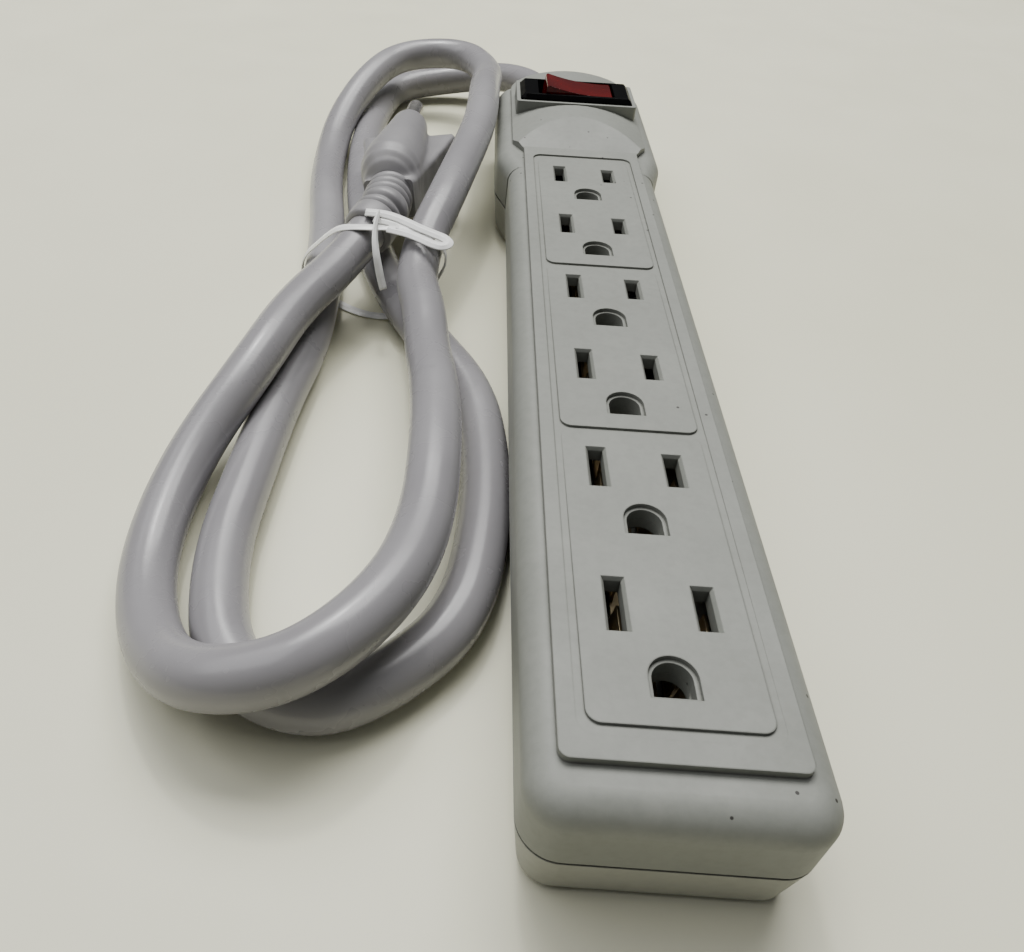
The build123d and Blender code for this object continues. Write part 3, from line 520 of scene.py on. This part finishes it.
# ---------------------------------------------------------------- tie
def ribbon(name, path, normals, width, thick, ridge=0.55):
    """A flat plastic tie with a wire down its middle, swept along a path with a given facing at each point."""
    w, t, c = width / 2, thick / 2, ridge / 2
    prof = [(-w, -t * 0.6), (-w * 0.92, -t), (-c * 1.2, -t), (-c * 0.7, -c), (0, -c * 1.15), (c * 0.7, -c), (c * 1.2, -t), (w * 0.92, -t), (w, -t * 0.6),
            (w, t * 0.6), (w * 0.92, t), (c * 1.2, t), (c * 0.7, c), (0, c * 1.15), (-c * 0.7, c), (-c * 1.2, t), (-w * 0.92, t), (-w, t * 0.6)]
    bm = bmesh.new()
    rings = []
    for i, (p, nrm) in enumerate(zip(path, normals)):
        tan = (path[min(i + 1, len(path) - 1)] - path[max(i - 1, 0)]).normalized()
        side = tan.cross(nrm).normalized()
        nn = side.cross(tan).normalized()
        rings.append([bm.verts.new(p + side * a * MM + nn * b * MM) for a, b in prof])
    n_ = len(prof)
    for a, b in zip(rings[:-1], rings[1:]):
        for k in range(n_):
            bm.faces.new((a[k], a[(k + 1) % n_], b[(k + 1) % n_], b[k]))
    bm.faces.new(list(reversed(rings[0])))
    bm.faces.new(rings[-1])
    bmesh.ops.recalc_face_normals(bm, faces=bm.faces)
    me = bpy.data.meshes.new(name)
    bm.to_mesh(me)
    bm.free()
    for f in me.polygons:
        f.use_smooth = len(f.vertices) == 4
    ob = bpy.data.objects.new(name, me)
    bpy.context.scene.collection.objects.link(ob)
    dress(ob, tie_white)
    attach(ob, "case")
    return ob


def facing_from(path, centre):
    """Ribbon lies flat against what is inside: it faces away from the centre line."""
    out = []
    for i, p in enumerate(path):
        tan = (path[min(i + 1, len(path) - 1)] - path[max(i - 1, 0)]).normalized()
        side = Vector((0, 1, 0))
        nn = tan.cross(side).normalized()
        if nn.dot(p - centre) < 0:
            nn = -nn
        out.append(nn)
    return out


ty = 17.5
loop_pts = [mm(-47.0, ty + 2.5, 22.6), mm(-51.5, ty + 1.6, 22.6), mm(-56.8, ty + 1.3, 22.6), mm(-60.9, ty + 3.0, 21.3), mm(-64.2, ty + 5.6, 18.0),
            mm(-67.8, ty + 8.8, 13.4), mm(-71.0, ty + 10.9, 9.6), mm(-72.6, ty + 11.6, 5.0), mm(-71.3, ty + 10.2, 0.34), mm(-66.0, ty + 6.0, 0.34),
            mm(-57.0, ty - 1.0, 0.34), mm(-48.5, ty - 2.6, 0.36), mm(-43.6, ty - 1.6, 2.6), mm(-39.8, ty - 1.0, 7.0), mm(-35.8, ty - 0.6, 12.2),
            mm(-34.4, ty - 0.4, 16.6), mm(-36.0, ty + 0.2, 20.6), mm(-40.4, ty + 1.0, 22.5), mm(-47.0, ty + 2.0, 23.2)]
loop_path = tie_line(loop_pts)
loop = ribbon("tie_loop", loop_path, facing_from(loop_path, mm(-53, ty, 11)), 2.7, 0.34)
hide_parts("cord_tie")

# one end folded out and back into a flat eye on the right, the other end hanging down
UP = Vector((0.05, -0.30, 0.95)).normalized()
fold = tie_line([mm(-54.9, 23.9, 24.0), mm(-52.0, 23.6, 24.2), mm(-48.6, 22.8, 24.1), mm(-44.8, 20.9, 23.7), mm(-40.8, 18.2, 23.4), mm(-37.6, 16.4, 23.2), mm(-35.2, 15.2, 23.0),
                 mm(-33.9, 13.0, 22.8), mm(-35.6, 11.2, 22.8), mm(-38.2, 12.4, 22.8), mm(-41.4, 14.8, 22.9), mm(-45.2, 17.2, 22.9), mm(-49.0, 18.5, 22.8)], 8)
ribbon("tie_fold", fold, [UP for p in fold], 2.35, 0.40, 0.7)
under = tie_line([mm(-52.6, 22.2, 23.4), mm(-49.0, 21.2, 23.3), mm(-45.0, 19.8, 22.9), mm(-41.0, 17.4, 22.5), mm(-37.8, 15.4, 22.3)], 8)
ribbon("tie_ply", under, [UP for p in under], 2.3, 0.36)
hang = tie_line([mm(-51.4, 22.6, 24.6), mm(-51.6, 19.6, 25.0), mm(-51.7, 16.4, 24.4), mm(-51.5, 12.8, 22.9), mm(-50.9, 10.0, 20.6), mm(-50.2, 8.6, 17.8), mm(-49.5, 7.6, 15.0), mm(-48.9, 7.0, 13.2)], 8)
turns = []
for i, p in enumerate(hang):
    t = i / (len(hang) - 1)
    a = math.radians(78 - 62 * min(1.0, t * 1.25))
    turns.append(Vector((math.sin(a), -0.8 * math.cos(a), 0.6 * math.cos(a))).normalized())
ribbon("tie_end", hang, turns, 1.8, 0.36)

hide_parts("cord_lead", "cord_coil")
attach(cord, "case")

# ---------------------------------------------------------------- smooth shading on the round CAD pieces
for name in ("plug_ground_pin", "cover_screws", "plunger_spring", "neon_lamp", "lamp_resistor", "contact_plunger", "ground_wire", "neutral_wire",
             "hot_line_wire", "hot_switched_wire", "lamp_wire"):
    node_mesh = nodes[name].data
    node_mesh.shade_smooth()
    node_mesh.set_sharp_from_angle(angle=math.radians(35))

# ---------------------------------------------------------------- floor and light
bm = bmesh.new()
bmesh.ops.create_grid(bm, x_segments=24, y_segments=24, size=1.6)
me = bpy.data.meshes.new("table")
bm.to_mesh(me)
bm.free()
table = bpy.data.objects.new("table", me)
bpy.context.scene.collection.objects.link(table)
tab, nt, bsdf = new_material("table_paint")
blotch = noise(nt, 3.2, 4.0, 0.55)
col = ramp(nt, blotch, [(0.30, (0.71, 0.70, 0.525)), (0.70, (0.77, 0.758, 0.595))])
stain = ramp(nt, noise(nt, 11.0, 5.0, 0.65, 0.5), [(0.60, grey(0.0)), (0.85, grey(0.16))])
col = mix(nt, stain, col, (0.53, 0.51, 0.38))
nt.links.new(col, bsdf.inputs["Base Color"])
nt.links.new(ramp(nt, noise(nt, 30.0, 4.0, 0.6), [(0.3, grey(0.42)), (0.7, grey(0.55))]), bsdf.inputs["Roughness"])
bsdf.inputs["Specular IOR Level"].default_value = 0.4
bump(nt, bsdf, [(noise(nt, 260.0, 3.0, 0.6), 0.0001, 0.15)])
dress(table, tab)


def area(name, at, target, size, power, color=(1, 1, 1), size_y=None):
    light = bpy.data.lights.new(name, "AREA")
    light.energy = power
    light.color = color
    light.size = size
    if size_y:
        light.shape = "RECTANGLE"
        light.size_y = size_y
    ob = bpy.data.objects.new(name, light)
    bpy.context.scene.collection.objects.link(ob)
    ob.location = at
    ob.rotation_euler = (Vector(target) - Vector(at)).to_track_quat("-Z", "Y").to_euler()
    return ob


area("ceiling", (0.06, 0.72, 1.30), (0.0, 0.03, 0.0), 1.2, 27.0, (1.0, 0.995, 0.97), 0.8)
area("left", (-0.75, 0.16, 1.30), (-0.05, -0.04, 0.0), 1.4, 15.0, (0.985, 0.99, 1.0))
area("lamp", (-0.17, 0.66, 1.16), (-0.04, -0.05, 0.0), 0.10, 3.4, (1.0, 0.99, 0.97))

world = bpy.data.worlds.new("studio")
bpy.context.scene.world = world
world.use_nodes = True
world.node_tree.nodes["Background"].inputs["Color"].default_value = (0.95, 0.97, 1.0, 1.0)
world.node_tree.nodes["Background"].inputs["Strength"].default_value = 0.13
